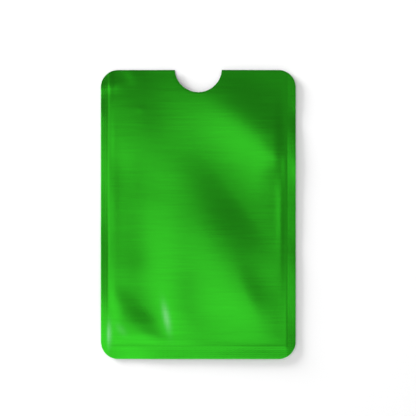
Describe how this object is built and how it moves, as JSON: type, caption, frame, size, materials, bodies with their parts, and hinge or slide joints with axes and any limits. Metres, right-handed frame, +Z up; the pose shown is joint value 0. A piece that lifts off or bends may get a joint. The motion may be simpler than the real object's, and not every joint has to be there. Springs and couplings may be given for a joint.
{
  "type": "rfid card sleeve",
  "caption": "Flat three-side-sealed pouch of green metallised foil laminate with an open end and a half-round thumb notch, holding one contactless bank card and shielding it from radio reading.",
  "frame": {"origin": "centre of the sleeve's bounding box at its lowest face, which is the flat of the back panel", "axes": "+X across the width, +Y along the length towards the open end with the thumb notch, +Z up through the back panel and then the front panel"},
  "size_m": [0.061, 0.0904, 0.0024],
  "materials": {
    "green_film": "satin green lacquer over bright metal, with fine brushed streaks across the width",
    "shield_foil": "bright rolled foil",
    "sealing_film": "clear milky film over bright foil",
    "heat_seal": "milky melted film"
  },
  "bodies": {
    "root": {"front_outer_film": "green_film", "front_shield_foil": "shield_foil", "front_sealing_film": "sealing_film", "back_outer_film": "green_film", "back_shield_foil": "shield_foil", "back_sealing_film": "sealing_film", "left_heat_seal": "heat_seal", "right_heat_seal": "heat_seal", "end_heat_seal": "heat_seal"}
  },
  "joints": []
}
